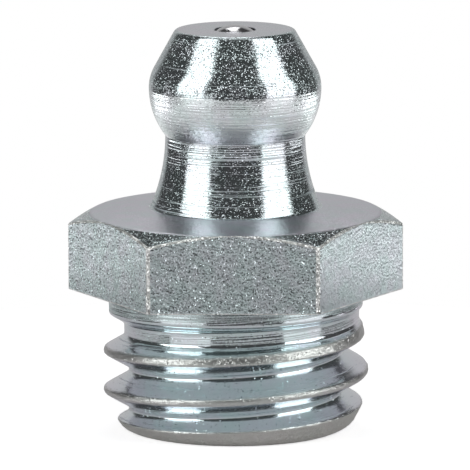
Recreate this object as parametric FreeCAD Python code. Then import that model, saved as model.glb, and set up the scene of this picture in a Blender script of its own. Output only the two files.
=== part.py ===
"""Straight grease nipple with a ball check valve, in millimetres, +Z towards the coupler head.

The body is turned and thread-rolled from one hexagon bar: a threaded shank, a plain collar, a
spanner hexagon, a flared neck and a coned head, with a bore right through it. A steel ball
closes the small hole in the head from the inside. A wire spring under the ball stands on the
lip that is rolled in at the threaded end. The origin is the centre of that end's face.
"""

import FreeCAD, Part
import math
import os

from FreeCAD import Vector

# Threaded shank, all heights measured up from the end face
THREAD_DIAMETER = 9.96
THREAD_PITCH = 1.5
THREAD_FLANK_ANGLE = 30.0
THREAD_CREST_WIDTH = 0.19
THREAD_ROOT_WIDTH = 0.2
THREAD_ROOT_HEIGHT_AT_X = 1.43
SHANK_LENGTH = 5.2
END_CHAMFER_DEPTH = 0.67
END_CHAMFER_ANGLE = 27.5
END_EDGE_RADIUS = 0.41

# Collar under the hexagon, and the taper from it to the full thread
COLLAR_DEPTH_UNDER_CREST = 0.21
COLLAR_HEIGHT = 1.3
CREST_TAPER_HEIGHT = 1.0

# Run-out of the groove: it grows shallow, and its upper wall stands further off
RUNOUT_TURNS = 0.88
RUNOUT_END_BELOW_HEX = 0.49
RUNOUT_OVERSHOOT = 0.03
RELIEF_WIDTH = 0.25
RELIEF_TURNS = 0.74
RELIEF_END_BEFORE_RUNOUT_END = 0.2

# Spanner hexagon, its upper face falling a little outwards from the neck
HEX_ACROSS_FLATS = 10.92
HEX_HEIGHT_AT_NECK = 3.17
HEX_FACE_ANGLE = 5.5
HEX_EDGE_RADIUS = 0.18
HEX_CHAMFER_INSET = 0.04
HEX_CHAMFER_ANGLE = 28.0

# Neck and head
NECK_LENGTH = 2.71
NECK_FLARE = 0.575
NECK_BASE_FILLET = 0.06
HEAD_DIAMETER = 6.45
HEAD_OVERHANG = 0.605
HEAD_UNDER_RADIUS = 2.95
HEAD_SHOULDER_HEIGHT = 0.405
HEAD_TOP_DIAMETER = 4.47
HEAD_TOP_EDGE = 0.09
HEAD_CONE_ANGLE = 29.2

# Check ball, its bore, its seat and the outlet over it
BALL_DIAMETER = 2.5
BALL_SIDE_CLEARANCE = 0.35
ORIFICE_DIAMETER = 1.55
ORIFICE_LAND = 0.05
SEAT_ANGLE = 45.0
RUNNING_CLEARANCE = 0.03

# Return spring, and the lip rolled in under it
SPRING_WIRE = 0.3
SPRING_SIDE_CLEARANCE = 0.25
SPRING_TURNS = 11.0
SPRING_CLOSED_TURNS = 1.0
SPRING_CLOSED_PITCH = 0.34
LIP_WIDTH = 0.45
LIP_HEIGHT = 0.5
LIP_MOUTH_BEVEL = 0.5
LIP_MOUTH_DEPTH = 0.28

# How finely helical surfaces are laid out
CREST_SECTORS = 12
SECTIONS_PER_SECTOR = 3
SPRING_SECTIONS_PER_TURN = 24

# Radii worked out from the sizes above
THREAD_RADIUS = THREAD_DIAMETER / 2
THREAD_SLOPE = math.tan(math.radians(THREAD_FLANK_ANGLE))
THREAD_DEPTH = (THREAD_PITCH - THREAD_CREST_WIDTH - THREAD_ROOT_WIDTH) / 2 / THREAD_SLOPE
COLLAR_RADIUS = THREAD_RADIUS - COLLAR_DEPTH_UNDER_CREST
HEAD_RADIUS = HEAD_DIAMETER / 2
NECK_RADIUS = HEAD_RADIUS - HEAD_OVERHANG
NECK_BASE_RADIUS = NECK_RADIUS + NECK_FLARE
BALL_RADIUS = BALL_DIAMETER / 2
BORE_RADIUS = BALL_RADIUS + BALL_SIDE_CLEARANCE
ORIFICE_RADIUS = ORIFICE_DIAMETER / 2
LIP_RADIUS = BORE_RADIUS - LIP_WIDTH
WIRE_RADIUS = SPRING_WIRE / 2
COIL_RADIUS = BORE_RADIUS - SPRING_SIDE_CLEARANCE - WIRE_RADIUS

# Heights worked out from the sizes above
HEX_BOTTOM = SHANK_LENGTH
HEX_TOP = HEX_BOTTOM + HEX_HEIGHT_AT_NECK
NECK_TOP = HEX_TOP + NECK_LENGTH
UNDER_SPAN = math.sqrt(HEAD_UNDER_RADIUS ** 2 - (HEAD_UNDER_RADIUS - HEAD_OVERHANG) ** 2)
HEAD_WIDEST = NECK_TOP + UNDER_SPAN
HEAD_CORNER = HEAD_WIDEST + HEAD_SHOULDER_HEIGHT
HEAD_SLOPE = math.tan(math.radians(HEAD_CONE_ANGLE))
HEAD_TOP = HEAD_CORNER + (HEAD_RADIUS - HEAD_TOP_DIAMETER / 2) / HEAD_SLOPE
SEAT_TOP = HEAD_TOP - ORIFICE_LAND
RUNOUT_HEIGHT = HEX_BOTTOM - RUNOUT_END_BELOW_HEX
LAST_TURN = (RUNOUT_HEIGHT - THREAD_ROOT_HEIGHT_AT_X) / THREAD_PITCH


def rotated(radius, angle, height):
    """Point at a radius and an angle in radians about the nipple's axis."""
    return Vector(radius * math.cos(angle), radius * math.sin(angle), height)


def in_section(radius, height):
    """Point of the turned profile, in the plane of +X and +Z."""
    return Vector(radius, 0, height)


def line(start, end):
    return Part.LineSegment(in_section(*start), in_section(*end)).toShape()


def arc(start, middle, end):
    return Part.Arc(in_section(*start), in_section(*middle), in_section(*end)).toShape()


def on_circle(centre, radius, angle):
    """Point of a circle in the turned profile, its angle in degrees up from +X."""
    turn = math.radians(angle)
    return (centre[0] + radius * math.cos(turn), centre[1] + radius * math.sin(turn))


def turned(edges, angle=360.0):
    """Solid that a closed profile sweeps about the nipple's axis."""
    return Part.Face(Part.Wire(edges)).revolve(Vector(0, 0, 0), Vector(0, 0, 1), angle)


def outline(points):
    """Straight edges through the points and back to the first one."""
    return [line(start, end) for start, end in zip(points, points[1:] + points[:1])]


def shank_profile():
    """Half section of the shank before its thread is rolled."""
    chamfer_height = END_CHAMFER_DEPTH / math.tan(math.radians(END_CHAMFER_ANGLE))
    edge_reach = END_EDGE_RADIUS * math.tan(math.radians((90 - END_CHAMFER_ANGLE) / 2))
    edge_centre = (THREAD_RADIUS - END_CHAMFER_DEPTH - edge_reach, END_EDGE_RADIUS)
    face_end = (edge_centre[0], 0)
    edge_middle = on_circle(edge_centre, END_EDGE_RADIUS, -(90 + END_CHAMFER_ANGLE) / 2)
    edge_end = on_circle(edge_centre, END_EDGE_RADIUS, -END_CHAMFER_ANGLE)
    collar_bottom = HEX_BOTTOM - COLLAR_HEIGHT
    corners = [
        edge_end,
        (THREAD_RADIUS, chamfer_height),
        (THREAD_RADIUS, collar_bottom - CREST_TAPER_HEIGHT),
        (COLLAR_RADIUS, collar_bottom),
        (COLLAR_RADIUS, HEX_BOTTOM),
        (0, HEX_BOTTOM),
        (0, 0),
        face_end,
    ]
    edges = [line(here, following) for here, following in zip(corners, corners[1:])]
    return edges + [arc(face_end, edge_middle, edge_end)]


def groove_section(turn):
    """Trapezium across the thread groove, after so many turns from the +X axis.

    Where the groove grows shallow, its lower wall stays where it is, so the floor grows wide.
    """
    deep_radius = THREAD_RADIUS - THREAD_DEPTH
    shallow_radius = COLLAR_RADIUS + RUNOUT_OVERSHOOT
    shallowing = max(0.0, 1 - (LAST_TURN - turn) / RUNOUT_TURNS)
    root_radius = deep_radius + shallowing * (shallow_radius - deep_radius)
    relief_share = (LAST_TURN - RELIEF_END_BEFORE_RUNOUT_END - turn) / RELIEF_TURNS
    relief = RELIEF_WIDTH * math.sin(math.pi * min(1.0, max(0.0, relief_share)))
    outer_radius = THREAD_RADIUS + THREAD_CREST_WIDTH / 3
    half_root = THREAD_ROOT_WIDTH / 2
    lower_root = half_root + (root_radius - deep_radius) * THREAD_SLOPE
    lower_mouth = half_root + (outer_radius - deep_radius) * THREAD_SLOPE
    upper_root = half_root + relief
    upper_mouth = upper_root + (outer_radius - root_radius) * THREAD_SLOPE
    height = THREAD_ROOT_HEIGHT_AT_X + THREAD_PITCH * turn
    angle = 2 * math.pi * turn
    corners = [
        rotated(outer_radius, angle, height - lower_mouth),
        rotated(root_radius, angle, height - lower_root),
        rotated(root_radius, angle, height + upper_root),
        rotated(outer_radius, angle, height + upper_mouth),
    ]
    return Part.makePolygon(corners + corners[:1])


def groove_stretch(start, end):
    """Stretch of the right-hand groove between two turns, where a groove is still cut."""
    end = min(end, LAST_TURN)
    step = (end - start) / SECTIONS_PER_SECTOR
    sections = [groove_section(start + step * index) for index in range(SECTIONS_PER_SECTOR + 1)]
    return Part.makeLoft(sections, True, False)


def shank():
    """Threaded shank, made in sectors so that every stretch of groove and crest is short."""
    step = 1 / CREST_SECTORS
    sectors = []
    for index in range(CREST_SECTORS):
        sector = turned(shank_profile(), 360 * step)
        sector.rotate(Vector(0, 0, 0), Vector(0, 0, 1), 360 * step * index)
        grooves = []
        start = index * step - math.ceil(THREAD_ROOT_HEIGHT_AT_X / THREAD_PITCH + 1)
        while start < LAST_TURN:
            grooves.append(groove_stretch(start, start + step))
            start += 1
        sectors.append(sector.cut(grooves))
    return sectors[0].multiFuse(sectors[1:])


def hexagon():
    """Spanner hexagon with its corners on the X axis and its top edge turned to a chamfer."""
    edge_centre = (HEX_ACROSS_FLATS / 2 - HEX_EDGE_RADIUS) / math.cos(math.radians(30))
    rounds = []
    for index in range(6):
        middle = math.radians(60 * index)
        centre = rotated(edge_centre, middle, HEX_BOTTOM)
        ends = [centre + rotated(HEX_EDGE_RADIUS, middle + math.radians(side), 0)
                for side in (-30, 0, 30)]
        rounds.append(ends)
    edges = []
    for here, following in zip(rounds, rounds[1:] + rounds[:1]):
        edges.append(Part.Arc(*here).toShape())
        edges.append(Part.LineSegment(here[-1], following[0]).toShape())
    prism = Part.Face(Part.Wire(edges)).extrude(Vector(0, 0, HEX_HEIGHT_AT_NECK))
    reach = HEX_ACROSS_FLATS
    rim_radius = HEX_ACROSS_FLATS / 2 - HEX_CHAMFER_INSET
    rim = HEX_TOP - (rim_radius - NECK_BASE_RADIUS) * math.tan(math.radians(HEX_FACE_ANGLE))
    fall = (reach - rim_radius) * math.tan(math.radians(HEX_CHAMFER_ANGLE))
    turned_top = turned(outline([
        (0, HEX_BOTTOM),
        (reach, HEX_BOTTOM),
        (reach, rim - fall),
        (rim_radius, rim),
        (NECK_BASE_RADIUS, HEX_TOP),
        (0, HEX_TOP),
    ]))
    return prism.common(turned_top)


def neck():
    """Neck that flares down to the hexagon, with a small fillet at its foot."""
    flare_radius = (NECK_LENGTH ** 2 + NECK_FLARE ** 2) / 2 / NECK_FLARE
    flare_centre = (NECK_RADIUS + flare_radius, NECK_TOP)
    reach = flare_radius - NECK_BASE_FILLET
    base_angle = 180 + math.degrees(math.asin((NECK_LENGTH - NECK_BASE_FILLET) / reach))
    fillet_centre = on_circle(flare_centre, reach, base_angle)
    base = on_circle(flare_centre, flare_radius, base_angle)
    foot = (fillet_centre[0], HEX_TOP)
    top = (NECK_RADIUS, NECK_TOP)
    return turned([
        line((0, HEX_BOTTOM), (foot[0], HEX_BOTTOM)),
        line((foot[0], HEX_BOTTOM), foot),
        arc(foot, on_circle(fillet_centre, NECK_BASE_FILLET, (base_angle + 270) / 2), base),
        arc(base, on_circle(flare_centre, flare_radius, (base_angle + 180) / 2), top),
        line(top, (0, NECK_TOP)),
        line((0, NECK_TOP), (0, HEX_BOTTOM)),
    ])


def head():
    """Round underside that the coupler's jaws grip, rounded shoulder and coned top."""
    under_centre = (HEAD_RADIUS - HEAD_UNDER_RADIUS, HEAD_WIDEST)
    pinch = (NECK_RADIUS, NECK_TOP)
    pinch_angle = -math.degrees(math.asin(UNDER_SPAN / HEAD_UNDER_RADIUS))
    girth = (HEAD_RADIUS, HEAD_WIDEST)
    shoulder_radius = HEAD_SHOULDER_HEIGHT / math.tan(math.radians(HEAD_CONE_ANGLE / 2))
    shoulder_centre = (HEAD_RADIUS - shoulder_radius, HEAD_WIDEST)
    shoulder = on_circle(shoulder_centre, shoulder_radius, HEAD_CONE_ANGLE)
    rim = (HEAD_TOP_DIAMETER / 2 + HEAD_TOP_EDGE * HEAD_SLOPE, HEAD_TOP - HEAD_TOP_EDGE)
    top = (HEAD_TOP_DIAMETER / 2 - HEAD_TOP_EDGE, HEAD_TOP)
    return turned([
        line((0, NECK_TOP), pinch),
        arc(pinch, on_circle(under_centre, HEAD_UNDER_RADIUS, pinch_angle / 2), girth),
        arc(girth, on_circle(shoulder_centre, shoulder_radius, HEAD_CONE_ANGLE / 2), shoulder),
        line(shoulder, rim),
        line(rim, top),
        line(top, (0, HEAD_TOP)),
        line((0, HEAD_TOP), (0, NECK_TOP)),
    ])


def bore():
    """Passage for the grease: rolled lip, spring bore, coned seat and small outlet."""
    seat_height = (BORE_RADIUS - ORIFICE_RADIUS) / math.tan(math.radians(SEAT_ANGLE))
    return turned(outline([
        (0, 0),
        (LIP_RADIUS + LIP_MOUTH_BEVEL, 0),
        (LIP_RADIUS, LIP_MOUTH_DEPTH),
        (LIP_RADIUS, LIP_HEIGHT),
        (BORE_RADIUS, LIP_HEIGHT),
        (BORE_RADIUS, SEAT_TOP - seat_height),
        (ORIFICE_RADIUS, SEAT_TOP),
        (ORIFICE_RADIUS, HEAD_TOP),
        (0, HEAD_TOP),
    ]))


def nipple_body():
    return shank().multiFuse([hexagon(), neck(), head()]).cut(bore())


def ball_height():
    """Height of the ball's centre with the ball a running clearance off its seat."""
    angle = math.radians(SEAT_ANGLE)
    reach = BALL_RADIUS + RUNNING_CLEARANCE
    return SEAT_TOP - (reach - ORIFICE_RADIUS * math.cos(angle)) / math.sin(angle)


def check_ball():
    ball = Part.makeSphere(BALL_RADIUS)
    ball.translate(Vector(0, 0, ball_height()))
    return ball


def smooth_step(share):
    share = min(1.0, max(0.0, share))
    return share * share * (3 - 2 * share)


def return_spring():
    """Round wire spring with closed ends, from the rolled lip up to the ball."""
    contact = BALL_RADIUS + WIRE_RADIUS + RUNNING_CLEARANCE
    bottom = LIP_HEIGHT + RUNNING_CLEARANCE + WIRE_RADIUS
    top = ball_height() - math.sqrt(contact ** 2 - COIL_RADIUS ** 2)

    count = round(SPRING_TURNS * SPRING_SECTIONS_PER_TURN)
    step = SPRING_TURNS / count
    opening = []
    for index in range(count):
        turns_from_end = min(index + 0.5, count - index - 0.5) * step
        opening.append(smooth_step((turns_from_end - SPRING_CLOSED_TURNS / 2) * 2))
    closed_height = SPRING_CLOSED_PITCH * SPRING_TURNS
    open_rise = (top - bottom - closed_height) / sum(opening)

    points = [rotated(COIL_RADIUS, 0, bottom)]
    height = bottom
    for index in range(count):
        height += SPRING_CLOSED_PITCH * step + open_rise * opening[index]
        points.append(rotated(COIL_RADIUS, 2 * math.pi * (index + 1) * step, height))
    path = Part.BSplineCurve()
    path.interpolate(points)
    wire = Part.Circle(points[0], path.tangent(path.FirstParameter)[0], WIRE_RADIUS)
    section = Part.Wire(wire.toShape())
    return Part.Wire(path.toShape()).makePipeShell([section], True, True)


def main():
    os.makedirs("parts", exist_ok=True)
    pieces = {
        "nipple_body": nipple_body(),
        "check_ball": check_ball(),
        "return_spring": return_spring(),
    }
    for name, shape in pieces.items():
        shape.exportStep("parts/" + name + ".step")
        print(name, shape.isValid(), "solids", len(shape.Solids), "faces", len(shape.Faces),
              "volume mm3 %.3f" % shape.Volume)


main()
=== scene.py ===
"""Looks of the straight grease nipple: bright zinc-plated steel in plain studio light.

Lengths here are in millimetres and are turned into metres when a mesh is made, but the
softboxes' distance is in metres. The body is a closed skin of rings of points, one column of
points for each direction round the axis. The shank's skin follows the thread's helix.
"""

import bpy
import math
import numpy as np
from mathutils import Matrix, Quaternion, Vector, noise


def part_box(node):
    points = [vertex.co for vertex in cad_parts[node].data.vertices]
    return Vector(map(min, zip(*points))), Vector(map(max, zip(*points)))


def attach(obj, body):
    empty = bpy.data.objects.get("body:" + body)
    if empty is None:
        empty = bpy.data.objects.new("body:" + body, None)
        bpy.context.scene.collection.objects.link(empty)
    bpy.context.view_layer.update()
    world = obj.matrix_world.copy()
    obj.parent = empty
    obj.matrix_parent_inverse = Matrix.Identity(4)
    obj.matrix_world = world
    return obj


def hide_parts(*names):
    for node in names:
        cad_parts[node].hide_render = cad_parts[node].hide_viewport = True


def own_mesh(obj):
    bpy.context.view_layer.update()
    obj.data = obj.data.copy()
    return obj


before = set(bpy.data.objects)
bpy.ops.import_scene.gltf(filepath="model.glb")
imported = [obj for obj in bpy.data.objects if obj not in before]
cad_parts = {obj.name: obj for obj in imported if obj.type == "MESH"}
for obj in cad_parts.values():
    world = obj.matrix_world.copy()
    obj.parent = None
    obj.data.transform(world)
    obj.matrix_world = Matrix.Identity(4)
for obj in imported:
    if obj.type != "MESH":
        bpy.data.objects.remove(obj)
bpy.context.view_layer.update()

MM = 0.001

# Threaded shank
THREAD_RADIUS = 4.98
THREAD_ROOT_RADIUS = 4.019
THREAD_PITCH = 1.5
THREAD_SLOPE = math.tan(math.radians(30))
THREAD_ROOT_WIDTH = 0.2
THREAD_ROOT_HEIGHT_AT_X = 1.43
CREST_ROUNDING = 0.1
ROOT_ROUNDING = 0.2
SHANK_LENGTH = 5.2
END_FACE_RADIUS = 4.31
END_CHAMFER_SLOPE = math.tan(math.radians(27.5))
END_CHAMFER_BLEND = 0.12
END_ROUNDING = 0.35
END_ROUNDING_PULL = 0.8
COLLAR_RADIUS = 4.77
COLLAR_BOTTOM = 3.9
CREST_TAPER_HEIGHT = 1.0
RUNOUT_TURNS = 0.88
RUNOUT_RADIUS = 4.8
RUNOUT_END_BELOW_HEX = 0.49
RELIEF_WIDTH = 0.25
RELIEF_TURNS = 0.74
RELIEF_END = 0.2
LAST_TURN = (SHANK_LENGTH - RUNOUT_END_BELOW_HEX - THREAD_ROOT_HEIGHT_AT_X) / THREAD_PITCH

# Worn band along the crests, which fades out at the collar, and the burrs on it
CREST_BAND = 0.13
CREST_TOP = 4.2
CREST_FADE = 0.3
CREST_BURR = 0.028
BURR_LIMIT = 0.3
BURR_PATH_RADIUS = 5
BURRS_PER_MM = 7

# Where the shank changes from one finish to the next, by height and by nearness to a crest
CHAMFER_TOP = 1.0
CHAMFER_CREST = 0.8
COLLAR_FINISH_BOTTOM = 3.7
COLLAR_CREST = 0.3
COLLAR_RINGS_BOTTOM = 4.75
COLLAR_STRIP_HEIGHT = 0.3

# Rows of the shank above this height are drawn together, so that none passes the collar's top
SQUEEZE_FROM = SHANK_LENGTH - 0.35
SQUEEZE = 0.45

# Hexagon
SECTOR = math.radians(60)
HEX_HALF_WIDTH = 5.46
HEX_EDGE_RADIUS = 0.18
HEX_EDGE_CENTRE = (HEX_HALF_WIDTH - HEX_EDGE_RADIUS) / math.cos(math.radians(30))
HEX_TOP = 8.37
HEX_FACE_SLOPE = math.tan(math.radians(5.5))
HEX_RIM_RADIUS = 5.42
HEX_CHAMFER_ANGLE = math.radians(28)
HEX_CHAMFER_SLOPE = math.tan(HEX_CHAMFER_ANGLE)
HEX_BEVEL = 0.07
HEX_BEVEL_SHARE = 0.45
HEX_FOOT_ROUNDING = 0.05

# Neck and head
NECK_BASE_RADIUS = 3.195
NECK_RADIUS = 2.62
NECK_TOP = 11.08
NECK_FILLET = 0.06
HEAD_RADIUS = 3.225
HEAD_UNDER_RADIUS = 2.95
HEAD_SHOULDER_HEIGHT = 0.405
HEAD_CONE_ANGLE = 29.2
HEAD_TOP_RADIUS = 2.235
HEAD_TOP_EDGE = 0.1

# Bore, seat, outlet and rolled lip
BORE_RADIUS = 1.6
OUTLET_RADIUS = 0.775
OUTLET_EDGE = 0.05
LIP_RADIUS = 1.15
LIP_HEIGHT = 0.5
LIP_MOUTH_RADIUS = 1.65
LIP_MOUTH_DEPTH = 0.28
END_RING_WIDTH = 0.2

# Spring
SPRING_WIRE_RADIUS = 0.15
SPRING_COIL_RADIUS = 1.2
SPRING_TURNS = 11
SPRING_CLOSED_PITCH = 0.34

# How finely the meshes are divided, and the turns at which the helical strip starts and ends
EDGE_STEPS = 8
FLAT_STEPS = 36
ROWS_PER_PITCH = 40
HEX_FACE_STEPS = 14
FILLET_STEPS = 4
NECK_STEPS = 32
UNDER_HEAD_STEPS = 24
SHOULDER_STEPS = 8
CONE_STEPS = 20
HEAD_FACE_STEPS = 9
SPRING_STEPS = 24
WIRE_STEPS = 10
FIRST_TURN = -1.75
END_TURN = 2.25
SHARP_ANGLE = math.radians(35)

# Camera, found from the hexagon's corners in the photograph
AIM_HEIGHT = 7.257
AIM_SIDE = 0.021
DISTANCE = 267.8
ELEVATION = 9.72
AZIMUTH = 1.03
ROLL = 0.185
FOCAL_PIXELS = 7142.0
FRAME_PIXELS = 470

# Floor, and what is added to it where the camera or a reflection sees it
FLOOR_RADIUS = 26.0
FLOOR_PALENESS = 0.7
FLOOR_FILL = 0.7
FLOOR_GLOSS = 0.05

# Softboxes, and the cards low in front of the part and at its sides: azimuth from the camera and
# half width, lowest and highest elevation, in degrees, and radiance
SOFTBOXES = {
    "left_softbox": (-63, 21, -1, 62, 2.0),
    "right_softbox": (66, 22, -1, 62, 2.0),
    "rear_softbox": (184, 13, 38, 66, 2.0),
    "left_card": (-50, 22, -12, -1, 0.9),
    "right_card": (64, 21, -12, -1, 0.9),
    "left_side_card": (-122, 20, -16, -11, 2.4),
    "right_side_card": (124, 20, -16, -11, 2.2),
}
SOFTBOX_DISTANCE = 1.0

# Room: how bright it is round the camera, behind the part, overhead and below, and between which
# backward or upward parts of a unit vector each of the last three fades in
ROOM_DARK = 0.06
ROOM_BEHIND = 0.49
ROOM_OVERHEAD = 0.47
ROOM_BELOW = 0.8
BEHIND_FADE = (0.73, 0.86)
OVERHEAD_FADE = (0.84, 0.92)
BELOW_FADE = (-0.25, -0.22)


def smooth_max(first, second, width):
    """Greater of the two, rounded where they lie within a width of each other."""
    near = np.maximum(width - np.abs(first - second), 0) / width
    return np.maximum(first, second) + near * near * width / 4


def smooth_min(first, second, width):
    return -smooth_max(-np.asarray(first), -np.asarray(second), width)


def smooth_step(value):
    share = np.clip(value, 0, 1)
    return share * share * (3 - 2 * share)


def column_angles():
    """Directions of the columns in radians, finest round the hexagon's rounded corners."""
    turns = np.radians(np.linspace(0, 30, EDGE_STEPS // 2 + 1))
    edge = np.arctan2(HEX_EDGE_RADIUS * np.sin(turns), HEX_EDGE_CENTRE + HEX_EDGE_RADIUS * np.cos(turns))
    flat = np.linspace(edge[-1], SECTOR - edge[-1], FLAT_STEPS + 1)
    one = np.concatenate([edge, flat[1:], (SECTOR - edge[::-1])[1:-1]])
    return np.concatenate([one + SECTOR * index for index in range(6)])


def hexagon_radii(angles):
    """Distance from the axis to the hexagon's side in each direction."""
    from_corner = np.abs((angles + SECTOR / 2) % SECTOR - SECTOR / 2)
    flat = HEX_HALF_WIDTH / np.cos(SECTOR / 2 - from_corner)
    across = np.maximum(HEX_EDGE_RADIUS ** 2 - (HEX_EDGE_CENTRE * np.sin(from_corner)) ** 2, 0)
    edge = HEX_EDGE_CENTRE * np.cos(from_corner) + np.sqrt(across)
    return np.where(from_corner < math.atan2(HEX_EDGE_RADIUS / 2, HEX_EDGE_CENTRE), edge, flat)


ANGLES = column_angles()
COLUMNS = len(ANGLES)
HEX_RADII = hexagon_radii(ANGLES)


def at_edge(column):
    """Whether a face that starts at this column is on a rounded corner of the hexagon."""
    place = column % (EDGE_STEPS + FLAT_STEPS)
    return place < EDGE_STEPS // 2 or place >= EDGE_STEPS // 2 + FLAT_STEPS


def blank_radius(height):
    """Radius of the shank before its thread is rolled."""
    taper = np.clip((height - COLLAR_BOTTOM) / CREST_TAPER_HEIGHT + 1, 0, 1)
    body = THREAD_RADIUS + (COLLAR_RADIUS - THREAD_RADIUS) * taper
    chamfer = END_FACE_RADIUS + height * END_CHAMFER_SLOPE
    return smooth_min(body, chamfer, END_CHAMFER_BLEND)


def groove_radius(turn, height):
    """Radius of the thread's groove that passes this direction after so many turns."""
    shallowing = np.maximum(0, 1 - (LAST_TURN - turn) / RUNOUT_TURNS)
    root = THREAD_ROOT_RADIUS + shallowing * (RUNOUT_RADIUS - THREAD_ROOT_RADIUS)
    share = np.clip((LAST_TURN - RELIEF_END - turn) / RELIEF_TURNS, 0, 1)
    relief = RELIEF_WIDTH * np.sin(math.pi * share)
    above = height - THREAD_ROOT_HEIGHT_AT_X - THREAD_PITCH * turn
    lower_wall = THREAD_ROOT_RADIUS - (above + THREAD_ROOT_WIDTH / 2) / THREAD_SLOPE
    upper_wall = root + (above - relief - THREAD_ROOT_WIDTH / 2) / THREAD_SLOPE
    groove = smooth_max(smooth_max(lower_wall, upper_wall, ROOT_ROUNDING), root, ROOT_ROUNDING)
    return np.where(turn <= LAST_TURN, groove, THREAD_RADIUS + 1)


def burr_noise(angle, height):
    """Noise that dents a crest, from a place near it."""
    place = (BURR_PATH_RADIUS * math.cos(angle), BURR_PATH_RADIUS * math.sin(angle), height)
    return noise.noise(Vector(place) * BURRS_PER_MM)


def shank_radius(turn, height):
    """Radius of the threaded shank, and how near the place is to a crest, from 0 to 1."""
    groove = groove_radius(turn, height)
    for shift in (-1, 1):
        groove = np.minimum(groove, groove_radius(turn + shift, height))
    blank = blank_radius(height)
    radius = smooth_min(blank, groove, CREST_ROUNDING)
    crest = smooth_step((radius - blank + CREST_BAND) / CREST_BAND)
    crest = crest * smooth_step((CREST_TOP - height) / CREST_FADE)
    places = np.nditer(np.broadcast_arrays(2 * math.pi * turn, height))
    burr = [burr_noise(angle, level) for angle, level in places]
    return radius + (np.minimum(burr, BURR_LIMIT) - BURR_LIMIT) * CREST_BURR * crest, crest


class Skin:
    """Points and faces of a closed surface, with what its materials read.

    Each point has its nearness to a crest, from 0 to 1. Each face has a finish, and each of its
    corners the distance along the outline in millimetres, which the turning lines follow.
    """

    def __init__(self):
        self.points = []
        self.crests = []
        self.faces = []
        self.finishes = []
        self.along = []

    def add_points(self, angles, radii, heights, crests=0.0):
        """Adds a point for each angle and returns their numbers."""
        angles, radii, heights, crests = np.broadcast_arrays(angles, radii, heights, crests)
        first = len(self.points)
        self.points.extend(zip(radii * np.cos(angles), radii * np.sin(angles), heights))
        self.crests.extend(crests)
        return np.arange(first, len(self.points))

    def add_face(self, corners, along, finish):
        self.faces.append([int(corner) for corner in corners])
        self.along.extend(along)
        self.finishes.append(finish)

    def bridge(self, before, after, start, end, finish):
        """Faces between two rings of points, the outside on the right of the way between them."""
        for column in range(COLUMNS):
            following = (column + 1) % COLUMNS
            corners = (before[column], before[following], after[following], after[column])
            here = "edge" if finish == "flat" and at_edge(column) else finish
            self.add_face(corners, (start, start, end, end), here)


def shank_finish(skin, corners):
    """Finish of a face of the shank, from how high it is and how near to a crest."""
    heights = [skin.points[corner][2] for corner in corners]
    crests = [skin.crests[corner] for corner in corners]
    if max(heights) < CHAMFER_TOP and min(crests) > CHAMFER_CREST:
        return "end"
    if min(heights) > COLLAR_RINGS_BOTTOM:
        return "rings"
    if min(heights) > COLLAR_FINISH_BOTTOM and max(crests) < COLLAR_CREST:
        return "collar"
    return "thread"


def add_shank(skin):
    """Threaded shank as a strip along the helix.

    Returns the strip's lower edge, the step at its start, its upper edge and the step at its end.
    """
    first = round(FIRST_TURN * COLUMNS)
    last = round(END_TURN * COLUMNS)
    numbers = np.arange(first, last + 1)
    turns = np.floor(numbers / COLUMNS) + ANGLES[numbers % COLUMNS] / (2 * math.pi)
    rows = []
    for row in range(ROWS_PER_PITCH + 1):
        kept = numbers if row < ROWS_PER_PITCH else numbers[-COLUMNS:]
        turn = turns[kept - first]
        height = THREAD_ROOT_HEIGHT_AT_X + THREAD_PITCH * (turn + row / ROWS_PER_PITCH - 0.5)
        squeezed = SQUEEZE_FROM + (height - SQUEEZE_FROM) * SQUEEZE
        height = np.where(height > SQUEEZE_FROM, squeezed, height)
        raised = smooth_max(height, 0, END_ROUNDING)
        radius, crest = shank_radius(turn, raised)
        radius = radius - END_ROUNDING_PULL * (raised - height)
        rows.append(skin.add_points(2 * math.pi * turn, radius, raised, crest))

    def point(number, row):
        """Point of a column, where the top row is the bottom row one turn on."""
        if row == ROWS_PER_PITCH and number + COLUMNS <= last:
            return rows[0][number + COLUMNS - first]
        if row == ROWS_PER_PITCH:
            return rows[row][number + COLUMNS - last - 1]
        return rows[row][number - first]

    step = THREAD_PITCH / ROWS_PER_PITCH
    for row in range(ROWS_PER_PITCH):
        for number in range(first, last):
            corners = (point(number, row), point(number + 1, row),
                       point(number + 1, row + 1), point(number, row + 1))
            low, high = row * step, (row + 1) * step
            skin.add_face(corners, (low, low, high, high), shank_finish(skin, corners))

    lower = [point(number, 0) for number in range(first, first + COLUMNS + 1)]
    upper = [point(number, ROWS_PER_PITCH) for number in range(last - COLUMNS, last + 1)]
    lower_step = [point(first, row) for row in range(ROWS_PER_PITCH)]
    upper_step = [point(last, row) for row in range(1, ROWS_PER_PITCH + 1)]
    return lower, lower_step, upper, upper_step


def close_below(skin, ring, lower, lower_step, seam):
    """Faces from a ring on the end face out to the strip's lower edge."""
    for index in range(COLUMNS - 1):
        column, following = (seam + index) % COLUMNS, (seam + index + 1) % COLUMNS
        corners = (ring[column], ring[following], lower[index + 1], lower[index])
        skin.add_face(corners, (0, 0, 1, 1), "end")
    corners = [ring[(seam - 1) % COLUMNS], ring[seam]] + lower_step + [lower[-1], lower[-2]]
    skin.add_face(corners, [0] * len(corners), "end")


def close_above(skin, ring, upper, upper_step, seam):
    """Faces from the strip's upper edge up to a ring at the top of the collar."""
    corners = [upper[0], upper[1], ring[(seam + 1) % COLUMNS], ring[seam]] + upper_step[::-1]
    skin.add_face(corners, [0] * len(corners), "rings")
    for index in range(1, COLUMNS):
        column, following = (seam + index) % COLUMNS, (seam + index + 1) % COLUMNS
        corners = (upper[index], upper[index + 1], ring[following], ring[column])
        skin.add_face(corners, (0, 0, COLLAR_STRIP_HEIGHT, COLLAR_STRIP_HEIGHT), "rings")


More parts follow.
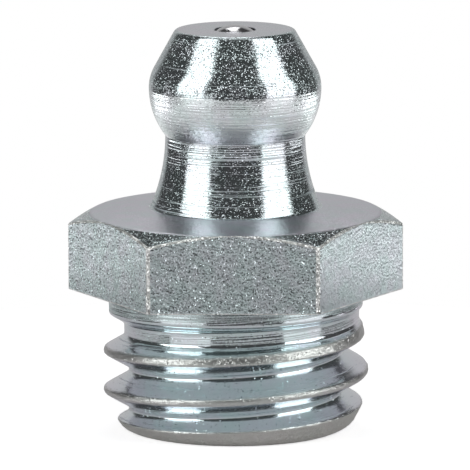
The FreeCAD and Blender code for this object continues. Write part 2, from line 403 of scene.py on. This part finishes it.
def rounded_corner(finish, before, corner, after, steps=3):
    """Rings of a small round that replaces a corner of a profile, past its first point."""
    rings = []
    for share in np.linspace(0, 1, steps + 1)[1:]:
        weights = ((1 - share) ** 2, 2 * share * (1 - share), share ** 2)
        radii, heights = (sum(weight * value for weight, value in zip(weights, values))
                          for values in zip(before, corner, after))
        rings.append((finish, radii, heights))
    return rings


def hexagon_rings():
    """Rings of the spanner hexagon from its underside to the foot of the neck."""
    rim_height = HEX_TOP - (HEX_RIM_RADIUS - NECK_BASE_RADIUS) * HEX_FACE_SLOPE
    corner_height = rim_height - (HEX_RADII - HEX_RIM_RADIUS) * HEX_CHAMFER_SLOPE
    chamfer_length = (HEX_RADII - HEX_RIM_RADIUS) / math.cos(HEX_CHAMFER_ANGLE)
    bevel = np.minimum(HEX_BEVEL, chamfer_length * HEX_BEVEL_SHARE)
    bevel_across = bevel * math.cos(HEX_CHAMFER_ANGLE)
    bevel_up = bevel * math.sin(HEX_CHAMFER_ANGLE)

    rings = [("flat", HEX_RADII - HEX_FOOT_ROUNDING, SHANK_LENGTH)]
    for turn in np.radians([30, 60, 90]):
        rings.append(("edge", HEX_RADII - HEX_FOOT_ROUNDING * (1 - math.sin(turn)),
                      SHANK_LENGTH + HEX_FOOT_ROUNDING * (1 - math.cos(turn))))
    side_bottom = SHANK_LENGTH + HEX_FOOT_ROUNDING
    side_top = corner_height - bevel
    for share in (0.03, 0.1, 0.25, 0.5, 0.75, 0.9, 0.97, 1):
        rings.append(("flat", HEX_RADII, side_bottom + (side_top - side_bottom) * share))
    over = (HEX_RADII - bevel_across, corner_height + bevel_up)
    rings += rounded_corner("edge", (HEX_RADII, side_top), (HEX_RADII, corner_height), over)
    under_rim = (HEX_RIM_RADIUS + bevel_across, rim_height - bevel_up)
    for share in (0.25, 0.5, 0.75, 1):
        rings.append(("chamfer", over[0] + (under_rim[0] - over[0]) * share,
                      over[1] + (under_rim[1] - over[1]) * share))
    past_rim = (HEX_RIM_RADIUS - bevel, rim_height + bevel * HEX_FACE_SLOPE)
    rings += rounded_corner("top", under_rim, (HEX_RIM_RADIUS, rim_height), past_rim)
    foot_radius = NECK_BASE_RADIUS + NECK_FILLET
    for share in np.linspace(0, 1, HEX_FACE_STEPS + 1)[1:]:
        rings.append(("top", past_rim[0] + (foot_radius - past_rim[0]) * share,
                      past_rim[1] + (HEX_TOP - past_rim[1]) * share))
    return rings


def arc_rings(finish, centre, radius, start, end, steps):
    """Rings along an arc of the turned outline, its angles in degrees up from outwards."""
    turns = np.radians(np.linspace(start, end, steps + 1)[1:])
    return [(finish, centre[0] + radius * math.cos(turn), centre[1] + radius * math.sin(turn))
            for turn in turns]


def line_rings(finish, start, end, steps):
    shares = np.linspace(0, 1, steps + 1)[1:]
    return [(finish, start[0] + (end[0] - start[0]) * share, start[1] + (end[1] - start[1]) * share)
            for share in shares]


def turned_rings():
    """Rings of the neck and the head, from the foot of the neck to the outlet's edge."""
    flare = NECK_BASE_RADIUS - NECK_RADIUS
    length = NECK_TOP - HEX_TOP
    flare_radius = (length ** 2 + flare ** 2) / 2 / flare
    flare_centre = (NECK_RADIUS + flare_radius, NECK_TOP)
    reach = flare_radius - NECK_FILLET
    base_angle = 180 + math.degrees(math.asin((length - NECK_FILLET) / reach))
    fillet_turn = math.radians(base_angle)
    fillet_centre = (flare_centre[0] + reach * math.cos(fillet_turn),
                     flare_centre[1] + reach * math.sin(fillet_turn))
    rings = arc_rings("neck", fillet_centre, NECK_FILLET, 270, base_angle, FILLET_STEPS)
    rings += arc_rings("neck", flare_centre, flare_radius, base_angle, 180, NECK_STEPS)

    overhang = HEAD_RADIUS - NECK_RADIUS
    span = math.sqrt(HEAD_UNDER_RADIUS ** 2 - (HEAD_UNDER_RADIUS - overhang) ** 2)
    widest = NECK_TOP + span
    pinch_angle = -math.degrees(math.asin(span / HEAD_UNDER_RADIUS))
    rings += arc_rings("under", (HEAD_RADIUS - HEAD_UNDER_RADIUS, widest), HEAD_UNDER_RADIUS,
                       pinch_angle, 0, UNDER_HEAD_STEPS)
    shoulder_radius = HEAD_SHOULDER_HEIGHT / math.tan(math.radians(HEAD_CONE_ANGLE / 2))
    rings += arc_rings("cone", (HEAD_RADIUS - shoulder_radius, widest), shoulder_radius,
                       0, HEAD_CONE_ANGLE, SHOULDER_STEPS)

    slope = math.tan(math.radians(HEAD_CONE_ANGLE))
    top = widest + HEAD_SHOULDER_HEIGHT + (HEAD_RADIUS - HEAD_TOP_RADIUS) / slope
    rim = (HEAD_TOP_RADIUS + HEAD_TOP_EDGE * slope, top - HEAD_TOP_EDGE)
    past_rim = (HEAD_TOP_RADIUS - HEAD_TOP_EDGE, top)
    rings += line_rings("cone", rings[-1][1:], rim, CONE_STEPS)
    rings += rounded_corner("cone", rim, (HEAD_TOP_RADIUS, top), past_rim, FILLET_STEPS)
    outlet_rim = (OUTLET_RADIUS + OUTLET_EDGE, top)
    rings += line_rings("face", past_rim, outlet_rim, HEAD_FACE_STEPS)
    rings += rounded_corner("face", outlet_rim, (OUTLET_RADIUS, top), (OUTLET_RADIUS, top - OUTLET_EDGE))
    return rings, top


def bore_rings(top):
    """Rings down the bore, round the rolled lip and out on the end face."""
    seat_top = top - OUTLET_EDGE
    places = [
        (BORE_RADIUS, seat_top - (BORE_RADIUS - OUTLET_RADIUS)),
        (BORE_RADIUS, (seat_top + LIP_HEIGHT) / 2),
        (BORE_RADIUS, LIP_HEIGHT),
        (LIP_RADIUS, LIP_HEIGHT),
        (LIP_RADIUS, LIP_MOUTH_DEPTH),
        (LIP_MOUTH_RADIUS, 0.0),
        (LIP_MOUTH_RADIUS + END_RING_WIDTH, 0.0),
    ]
    return [("bore",) + place for place in places[:-1]] + [("end",) + places[-1]]


def piece_from(name, points, faces, finishes, materials):
    """Mesh object from points in millimetres, with one material for each finish."""
    mesh = bpy.data.meshes.new(name)
    mesh.from_pydata([tuple(float(value) * MM for value in point) for point in points], [], faces)
    names = list(dict.fromkeys(finishes))
    for finish in names:
        mesh.materials.append(materials[finish])
    mesh.polygons.foreach_set("material_index", [names.index(finish) for finish in finishes])
    mesh.polygons.foreach_set("use_smooth", [True] * len(faces))
    piece = bpy.data.objects.new(name, mesh)
    bpy.context.collection.objects.link(piece)
    return piece


def body_piece(materials):
    """Nipple body: shank, hexagon, neck, head and bore as one closed skin."""
    skin = Skin()
    lower, lower_step, upper, upper_step = add_shank(skin)
    seam = round(END_TURN * COLUMNS) % COLUMNS
    collar_top = skin.add_points(ANGLES, COLLAR_RADIUS, SHANK_LENGTH)
    close_above(skin, collar_top, upper, upper_step, seam)
    turned, top = turned_rings()
    ring = collar_top
    along = 0.0
    place = (COLLAR_RADIUS, SHANK_LENGTH)
    for finish, radii, heights in hexagon_rings() + turned + bore_rings(top):
        following = skin.add_points(ANGLES, radii, heights)
        here = (float(np.mean(radii)), float(np.mean(heights)))
        further = along + math.dist(place, here)
        skin.bridge(ring, following, along, further, finish)
        ring, along, place = following, further, here
    close_below(skin, ring, lower, lower_step, seam)

    piece = piece_from("body_looks", skin.points, skin.faces, skin.finishes, materials)
    mesh = piece.data
    mesh.attributes.new("crest", "FLOAT", "POINT").data.foreach_set("value", skin.crests)
    mesh.attributes.new("along", "FLOAT", "CORNER").data.foreach_set("value", skin.along)
    mesh.set_sharp_from_angle(angle=SHARP_ANGLE)
    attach(piece, "body")
    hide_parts("nipple_body")


def spring_piece(material):
    """Return spring, wound as the CAD spring is; the real one shortens as the ball goes down, and this
    one keeps its length.
    """
    low, high = (corner[2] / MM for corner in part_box("return_spring"))
    bottom = low + SPRING_WIRE_RADIUS
    top = high - SPRING_WIRE_RADIUS
    steps = SPRING_TURNS * SPRING_STEPS
    ends = np.minimum(np.arange(steps) + 0.5, steps - np.arange(steps) - 0.5) / SPRING_STEPS
    opening = smooth_step(2 * ends - 1)
    rise = (top - bottom - SPRING_CLOSED_PITCH * SPRING_TURNS) / opening.sum()
    climb = SPRING_CLOSED_PITCH / SPRING_STEPS + rise * opening
    heights = bottom + np.concatenate([[0], np.cumsum(climb)])
    points = []
    for index, height in enumerate(heights):
        turn = 2 * math.pi * index / SPRING_STEPS
        for side in range(WIRE_STEPS):
            angle = 2 * math.pi * side / WIRE_STEPS
            radius = SPRING_COIL_RADIUS + SPRING_WIRE_RADIUS * math.cos(angle)
            points.append((radius * math.cos(turn), radius * math.sin(turn),
                           height + SPRING_WIRE_RADIUS * math.sin(angle)))
    faces = []
    for index in range(steps):
        for side in range(WIRE_STEPS):
            following = (side + 1) % WIRE_STEPS
            here, there = index * WIRE_STEPS, (index + 1) * WIRE_STEPS
            faces.append((here + side, there + side, there + following, here + following))
    faces.append(tuple(range(WIRE_STEPS)))
    faces.append(tuple(range(steps * WIRE_STEPS, (steps + 1) * WIRE_STEPS))[::-1])
    piece = piece_from("spring_looks", points, faces, ["wire"] * len(faces), {"wire": material})
    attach(piece, "body")
    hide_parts("return_spring")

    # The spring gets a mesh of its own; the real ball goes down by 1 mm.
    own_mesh(piece)


class Nodes:
    """Short way of adding linked shader nodes to a material or a world."""

    def __init__(self, tree):
        self.tree = tree

    def add(self, kind, inputs=None, **settings):
        node = self.tree.nodes.new(kind)
        for name, value in settings.items():
            setattr(node, name, value)
        for key, value in (inputs or {}).items():
            if isinstance(value, bpy.types.NodeSocket):
                self.tree.links.new(value, node.inputs[key])
            else:
                node.inputs[key].default_value = value
        return node

    def math(self, operation, first, second=0.0, clamp=False):
        return self.add("ShaderNodeMath", {0: first, 1: second}, operation=operation,
                        use_clamp=clamp).outputs[0]

    def ramp(self, value, low, high, start=0.0, end=1.0):
        """Value between start and end as the input goes from low to high, and no further."""
        inputs = {"Value": value, "From Min": low, "From Max": high, "To Min": start, "To Max": end}
        return self.add("ShaderNodeMapRange", inputs, clamp=True).outputs["Result"]

    def mix(self, factor, first, second):
        node = self.add("ShaderNodeMix", {0: factor}, data_type="RGBA")
        for socket, value in zip([item for item in node.inputs if item.type == "RGBA"], (first, second)):
            if isinstance(value, bpy.types.NodeSocket):
                self.tree.links.new(value, socket)
            else:
                socket.default_value = value
        return [item for item in node.outputs if item.type == "RGBA"][0]

    def noise(self, vector, detail):
        inputs = {"Vector": vector, "Scale": 1.0, "Detail": detail, "Roughness": 0.5}
        return self.add("ShaderNodeTexNoise", inputs).outputs[0]

    def vector(self, operation, first, second=(0, 0, 0)):
        return self.add("ShaderNodeVectorMath", {0: first, 1: second}, operation=operation).outputs[0]

    def scaled(self, vector, scale):
        return self.vector("MULTIPLY", vector, scale)

    def bump(self, height):
        return self.add("ShaderNodeBump", {"Height": height, "Strength": 1.0, "Distance": 1.0}).outputs[0]


def new_material(name):
    material = bpy.data.materials.new(name)
    material.use_nodes = True
    nodes = Nodes(material.node_tree)
    return material, nodes, material.node_tree.nodes["Principled BSDF"]


# Noise is spread over a range between these of its values: nearly all of them, or most of them
NOISE_WIDE = (0.3, 0.7)
NOISE_NARROW = (0.35, 0.65)

# Tints of the plating, how far the crests take theirs, and where lilac fades in: by the upward
# part of the normal, and by the distance to the left or right
GREEN_STEEL = (0.645, 0.745, 0.755, 1)
DEEP_GREEN_STEEL = (0.66, 0.775, 0.78, 1)
LILAC_STEEL = (0.745, 0.72, 0.80, 1)
# Beige, which on the hexagon's rounded edges paints the colour of their highlight
BEIGE_STEEL = (0.78, 0.76, 0.72, 1)
CREST_STEEL = (0.6, 0.585, 0.55, 1)
CREST_TINT = 0.7
LILAC_FADE = (-0.3, 0.3)
SIDE_LILAC_FADE = (3.2, 4.8)

# Patches that differ a little in roughness and tint
PATCHES_PER_METRE = 1300.0
PATCH_ROUGHNESS = 0.02
PATCH_TINT = 0.25

# Lines from turning: how many to a band, above which level of the noise one shows in a sparse and
# in a dense band, how much a full share of lines lowers that level, how soft a line's edge is and
# how dull the line
LINES_PER_BAND = 6
LINE_LEVELS = (0.76, 0.68)
LINE_GAIN = 0.3
LINE_FADE = 0.08
LINE_DULLING = 0.5

# Tilted facets: the slope of all of them and what the picked ones add for a tilt of one, what the
# picking number is multiplied by to free it from the slope, and how the share differs by band
LEVEL_TILT = 0.08
PICKED_TILT = 1.8
PICK_SPREAD = 7.0
FACET_VARIETY = 0.3

# Crests have more facets and are duller
CREST_FACETS = 0.5
CREST_DULLING = 0.22

# Blasted grain, and how much of it is left on the flats on the right
PEBBLE_SIZE = 0.085
RIGHT_FLAT_FADE = (3.1, 3.3)
RIGHT_FLAT_GRAIN = 0.4


def turning_noise(nodes, parts, line_size, line_length):
    """Noise in fine lines round the axis, and in the wider bands that the lines gather in."""
    along = nodes.add("ShaderNodeAttribute", attribute_name="along").outputs["Fac"]
    metres = nodes.math("MULTIPLY", along, MM)
    rolled = nodes.add("ShaderNodeCombineXYZ", {0: parts[0], 1: parts[1], 2: metres}).outputs[0]
    across = 1 / (line_length * MM)
    per_line = 1 / (line_size * MM)
    rings = nodes.noise(nodes.scaled(rolled, (across, across, per_line)), detail=1.0)
    bands = nodes.noise(nodes.scaled(rolled, (across, across, per_line / LINES_PER_BAND)), detail=1.0)
    return rings, bands


def facet_noise(nodes, place, share, facet_size, stretch):
    """Sideways lean of each facet, and 1 on this share of the facets."""
    per_facet = 1 / (facet_size * MM)
    cells = nodes.scaled(place, (per_facet, per_facet, per_facet * stretch))
    colour = nodes.add("ShaderNodeTexVoronoi", {"Vector": cells, "Scale": 1.0}).outputs["Color"]
    lean = nodes.vector("SUBTRACT", colour, (0.5, 0.5, 0.5))
    pick = nodes.add("ShaderNodeSeparateColor", {0: colour}).outputs[2]
    pick = nodes.math("FRACT", nodes.math("MULTIPLY", pick, PICK_SPREAD))
    return lean, nodes.math("LESS_THAN", pick, share)


def plating_tint(nodes, parts, patches, crest, lilac, beige, green, side_lilac):
    """Green tint that turns lilac by the way a face looks, with beige where a finish asks for it; on the
    hexagon's rounded edges the beige is a painted highlight.
    """
    normal = nodes.add("ShaderNodeNewGeometry").outputs["Normal"]
    upward = nodes.add("ShaderNodeSeparateXYZ", {0: normal}).outputs[2]
    share = nodes.ramp(upward, *LILAC_FADE, lilac[1], lilac[0])
    cloud = nodes.ramp(patches, *NOISE_NARROW, -PATCH_TINT, PATCH_TINT)
    share = nodes.math("ADD", share, cloud, clamp=True)
    if side_lilac:
        near, far = (side * MM for side in SIDE_LILAC_FADE)
        added = nodes.ramp(nodes.math("ABSOLUTE", parts[0]), near, far, 0.0, side_lilac)
        share = nodes.math("ADD", share, added, clamp=True)
    tint = nodes.mix(share, green, LILAC_STEEL)
    if beige:
        tint = nodes.mix(beige, tint, BEIGE_STEEL)
    return nodes.mix(nodes.math("MULTIPLY", crest, CREST_TINT), tint, CREST_STEEL)


def plated(name, roughness, facets, facet_size, tilt, lines=0.0, line_size=0.06, line_length=5.0,
           waviness=0.04, stretch=1.0, dulling=0.04, lilac=(0.1, 0.6), beige=0.0, tone=1.0,
           green=GREEN_STEEL, side_lilac=0.0, pebbles=0.0):
    """Zinc-plated steel: mirror-like metal with fine tilted facets and dull lines from turning.

    Facets and lines are shares of the surface, and sizes are in millimetres. The tilt is about
    the slope of the steepest facets, the stretch is how much longer they are round the axis than
    along it, and the dulling is how much rougher they are. The waviness is the height of the
    lines for their size, and the pebbles are the height of a blasted grain for its own. Lilac is
    the share of the lilac tint on faces that look up and on faces that look down, side lilac is
    added where the surface is far to the left or right, beige is the share of the beige tint, and
    the tone makes the metal lighter or darker.
    """
    material, nodes, shader = new_material(name)
    place = nodes.add("ShaderNodeTexCoord").outputs["Object"]
    parts = nodes.add("ShaderNodeSeparateXYZ", {0: place}).outputs
    crest = nodes.add("ShaderNodeAttribute", attribute_name="crest").outputs["Fac"]
    patches = nodes.noise(nodes.scaled(place, (PATCHES_PER_METRE,) * 3), detail=2.0)
    rings, bands = turning_noise(nodes, parts, line_size, line_length)

    few, many = (1 - FACET_VARIETY) * facets, (1 + FACET_VARIETY) * facets
    share = nodes.ramp(bands, *NOISE_WIDE, few, many)
    share = nodes.math("ADD", share, nodes.math("MULTIPLY", crest, CREST_FACETS))
    lean, picked = facet_noise(nodes, place, share, facet_size, stretch)
    height = nodes.math("MULTIPLY", rings, waviness * line_size * MM)
    if pebbles:
        near, far = (side * MM for side in RIGHT_FLAT_FADE)
        grain = nodes.ramp(parts[0], near, far, 1.0, RIGHT_FLAT_GRAIN)
        picked = nodes.math("MULTIPLY", picked, grain)
        lumps = nodes.noise(nodes.scaled(place, (1 / (PEBBLE_SIZE * MM),) * 3), detail=1.0)
        lumps = nodes.math("MULTIPLY", lumps, grain)
        height = nodes.math("ADD", height, nodes.math("MULTIPLY", lumps, pebbles * PEBBLE_SIZE * MM))
    amount = nodes.math("ADD", nodes.math("MULTIPLY", picked, PICKED_TILT * tilt), LEVEL_TILT * tilt)
    lean = nodes.add("ShaderNodeVectorMath", {0: lean, "Scale": amount}, operation="SCALE").outputs[0]
    normal = nodes.vector("NORMALIZE", nodes.vector("ADD", nodes.bump(height), lean))

    rough = nodes.ramp(patches, *NOISE_WIDE, roughness - PATCH_ROUGHNESS, roughness + PATCH_ROUGHNESS)
    rough = nodes.math("ADD", rough, nodes.math("MULTIPLY", picked, dulling))
    rough = nodes.math("ADD", rough, nodes.math("MULTIPLY", crest, CREST_DULLING))
    if lines:
        sparse, dense = (level - LINE_GAIN * lines for level in LINE_LEVELS)
        line_edge = nodes.ramp(bands, *NOISE_NARROW, sparse, dense)
        line_share = nodes.ramp(nodes.math("SUBTRACT", rings, line_edge), 0.0, LINE_FADE)
        rough = nodes.math("ADD", rough, nodes.math("MULTIPLY", line_share, LINE_DULLING))

    tint = plating_tint(nodes, parts, patches, crest, lilac, beige, green, side_lilac)
    shader.inputs["Metallic"].default_value = 1.0
    nodes.tree.links.new(nodes.scaled(tint, (tone,) * 3), shader.inputs["Base Color"])
    nodes.tree.links.new(rough, shader.inputs["Roughness"])
    nodes.tree.links.new(normal, shader.inputs["Normal"])
    return material


# Ball and spring wire: tints, least and greatest roughness, and how many marks there are to the
# metre along x, y and z
BALL_STEEL = (0.6, 0.6, 0.62, 1)
BALL_ROUGHNESS = (0.08, 0.2)
BALL_SCUFFS = (9000.0, 9000.0, 2500.0)
BALL_SCUFF_HEIGHT = 0.001
WIRE_DARK = (0.5, 0.5, 0.52, 1)
WIRE_PALE = (0.62, 0.61, 0.6, 1)
WIRE_ROUGHNESS = (0.2, 0.38)
WIRE_MARKS = (2000.0, 2000.0, 20000.0)


def ball_steel():
    """Polished bearing steel with faint scuffs from the coupler."""
    material, nodes, shader = new_material("ball_steel")
    place = nodes.add("ShaderNodeTexCoord").outputs["Object"]
    scuffs = nodes.noise(nodes.scaled(place, BALL_SCUFFS), detail=3.0)
    rough = nodes.ramp(scuffs, *NOISE_WIDE, *BALL_ROUGHNESS)
    height = nodes.math("MULTIPLY", scuffs, BALL_SCUFF_HEIGHT * MM)
    shader.inputs["Metallic"].default_value = 1.0
    shader.inputs["Base Color"].default_value = BALL_STEEL
    nodes.tree.links.new(rough, shader.inputs["Roughness"])
    nodes.tree.links.new(nodes.bump(height), shader.inputs["Normal"])
    return material


def wire_steel():
    """Drawn spring wire with fine marks along it."""
    material, nodes, shader = new_material("wire_steel")
    place = nodes.add("ShaderNodeTexCoord").outputs["Object"]
    marks = nodes.noise(nodes.scaled(place, WIRE_MARKS), detail=2.0)
    rough = nodes.ramp(marks, *NOISE_WIDE, *WIRE_ROUGHNESS)
    tint = nodes.mix(marks, WIRE_DARK, WIRE_PALE)
    shader.inputs["Metallic"].default_value = 1.0
    nodes.tree.links.new(tint, shader.inputs["Base Color"])
    nodes.tree.links.new(rough, shader.inputs["Roughness"])
    return material


def make_floor():
    """Small round pale table, white to the camera where nothing shades it."""
    bpy.ops.mesh.primitive_circle_add(vertices=96, radius=FLOOR_RADIUS * MM, fill_type="NGON")
    floor = bpy.context.object
    floor.name = "floor"
    material = bpy.data.materials.new("floor")
    material.use_nodes = True
    tree = material.node_tree
    tree.nodes.clear()
    nodes = Nodes(tree)
    diffuse = nodes.add("ShaderNodeBsdfDiffuse", {"Color": (FLOOR_PALENESS,) * 3 + (1,)})
    path = nodes.add("ShaderNodeLightPath").outputs
    strength = nodes.math("MULTIPLY", path["Is Camera Ray"], FLOOR_FILL)
    strength = nodes.math("ADD", strength, nodes.math("MULTIPLY", path["Is Glossy Ray"], FLOOR_GLOSS))
    glow = nodes.add("ShaderNodeEmission", {"Color": (1, 1, 1, 1), "Strength": strength})
    both = nodes.add("ShaderNodeAddShader", {0: diffuse.outputs[0], 1: glow.outputs[0]})
    nodes.add("ShaderNodeOutputMaterial", {0: both.outputs[0]})
    floor.data.materials.append(material)


def make_softboxes():
    """Upright softboxes and cards that stand round the part and light it."""
    for name, (azimuth, half_width, low, high, radiance) in SOFTBOXES.items():
        bottom, top = (SOFTBOX_DISTANCE * math.tan(math.radians(angle)) for angle in (low, high))
        turn = math.radians(azimuth + AZIMUTH)
        way = Vector((math.sin(turn), -math.cos(turn), 0))
        lamp = bpy.data.lights.new(name, "AREA")
        lamp.shape = "RECTANGLE"
        lamp.size = 2 * SOFTBOX_DISTANCE * math.tan(math.radians(half_width))
        lamp.size_y = top - bottom
        lamp.energy = radiance * math.pi * lamp.size * lamp.size_y
        holder = bpy.data.objects.new(name, lamp)
        holder.location = way * SOFTBOX_DISTANCE + Vector((0, 0, (bottom + top) / 2))
        holder.rotation_mode = "QUATERNION"
        holder.rotation_quaternion = way.to_track_quat("Z", "Y")
        holder.visible_camera = False
        bpy.context.collection.objects.link(holder)


def make_world():
    """Room: dark round the camera, pale behind the part, overhead and below, white to the camera."""
    world = bpy.data.worlds.new("room")
    world.use_nodes = True
    tree = world.node_tree
    tree.nodes.clear()
    nodes = Nodes(tree)
    way = nodes.add("ShaderNodeTexCoord").outputs["Generated"]
    parts = nodes.add("ShaderNodeSeparateXYZ", {0: way}).outputs
    behind = nodes.ramp(parts[1], *BEHIND_FADE, 0.0, ROOM_BEHIND)
    overhead = nodes.ramp(parts[2], *OVERHEAD_FADE, 0.0, ROOM_OVERHEAD)
    below = nodes.ramp(parts[2], *BELOW_FADE, ROOM_BELOW, 0.0)
    light = nodes.math("MAXIMUM", nodes.math("MAXIMUM", behind, overhead), below)
    light = nodes.math("MAXIMUM", light, ROOM_DARK)
    seen = nodes.add("ShaderNodeLightPath").outputs["Is Camera Ray"]
    strength = nodes.math("MAXIMUM", light, seen)
    background = nodes.add("ShaderNodeBackground", {"Color": (1, 1, 1, 1), "Strength": strength})
    nodes.add("ShaderNodeOutputWorld", {0: background.outputs[0]})
    bpy.context.scene.world = world
    bpy.context.scene.view_settings.view_transform = "Standard"


def make_camera():
    """Camera that stood where the photograph's did."""
    turn = math.radians(AZIMUTH)
    rise = math.radians(ELEVATION)
    back = Vector((math.sin(turn) * math.cos(rise), -math.cos(turn) * math.cos(rise), math.sin(rise)))
    right = Vector((math.cos(turn), math.sin(turn), 0))
    data = bpy.data.cameras.new("camera")
    data.sensor_width = 36
    data.lens = FOCAL_PIXELS * data.sensor_width / FRAME_PIXELS
    data.clip_start = 0.01
    camera = bpy.data.objects.new("camera", data)
    camera.location = (Vector((0, 0, AIM_HEIGHT)) - right * AIM_SIDE + back * DISTANCE) * MM
    camera.rotation_mode = "QUATERNION"
    roll = Quaternion((0, 0, 1), math.radians(-ROLL))
    camera.rotation_quaternion = (-back).to_track_quat("-Z", "Y") @ roll
    bpy.context.collection.objects.link(camera)
    bpy.context.scene.camera = camera


# What plated() is told for each finish of the body
FINISHES = {
    "thread": {"roughness": 0.12, "facets": 0.03, "facet_size": 0.035, "tilt": 0.4, "lines": 0.1,
               "waviness": 0.12, "lilac": (-0.2, 0.65), "tone": 1.1, "green": DEEP_GREEN_STEEL,
               "side_lilac": 0.9},
    "collar": {"roughness": 0.09, "facets": 0.03, "facet_size": 0.03, "tilt": 0.4, "lines": 0.1,
               "waviness": 0.05, "lilac": (0.3, 0.3), "tone": 1.15, "side_lilac": 0.6},
    "rings": {"roughness": 0.26, "facets": 0.1, "facet_size": 0.03, "tilt": 0.3, "lines": 0.3,
              "line_size": 0.05, "waviness": 0.4, "lilac": (0.1, 0.1)},
    "flat": {"roughness": 0.37, "facets": 0.4, "facet_size": 0.045, "tilt": 0.32, "dulling": -0.18,
             "lilac": (0.2, 0.2), "tone": 1.12, "pebbles": 0.42},
    # On the hexagon's rounded edges the beige and the lighter tone are a painted highlight
    "edge": {"roughness": 0.45, "facets": 0.8, "facet_size": 0.05, "tilt": 0.75, "dulling": -0.1,
             "beige": 0.6, "tone": 1.24},
    "chamfer": {"roughness": 0.13, "facets": 0.4, "facet_size": 0.032, "tilt": 0.5, "lines": 0.05},
    "top": {"roughness": 0.32, "facets": 0.6, "facet_size": 0.04, "tilt": 0.14, "dulling": 0.0,
            "lilac": (0.7, 0.7), "tone": 0.94},
    "neck": {"roughness": 0.1, "facets": 0.15, "facet_size": 0.032, "tilt": 0.5, "lines": 0.24,
             "line_size": 0.05, "waviness": 0.3, "stretch": 1.8},
    "under": {"roughness": 0.2, "facets": 0.5, "facet_size": 0.04, "tilt": 0.17, "lines": 0.35,
              "waviness": 0.26, "stretch": 1.4, "dulling": -0.05, "lilac": (0.3, 0.3), "beige": 0.2,
              "tone": 1.25},
    "cone": {"roughness": 0.1, "facets": 0.31, "facet_size": 0.03, "tilt": 0.5, "lines": 0.2,
             "waviness": 0.12, "stretch": 1.3},
    "face": {"roughness": 0.2, "facets": 0.1, "facet_size": 0.035, "tilt": 0.12, "lilac": (0.7, 0.7),
             "tone": 0.95},
    "bore": {"roughness": 0.3, "facets": 0.3, "facet_size": 0.06, "tilt": 0.2, "lines": 0.3,
             "line_size": 0.15},
    "end": {"roughness": 0.3, "facets": 0.4, "facet_size": 0.045, "tilt": 0.25, "lines": 0.1,
            "line_size": 0.1, "beige": 0.3},
}

body_piece({name: plated(name, **settings) for name, settings in FINISHES.items()})
spring_piece(wire_steel())
ball_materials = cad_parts["check_ball"].data.materials
ball_materials.clear()
ball_materials.append(ball_steel())
make_floor()
make_softboxes()
make_world()
make_camera()
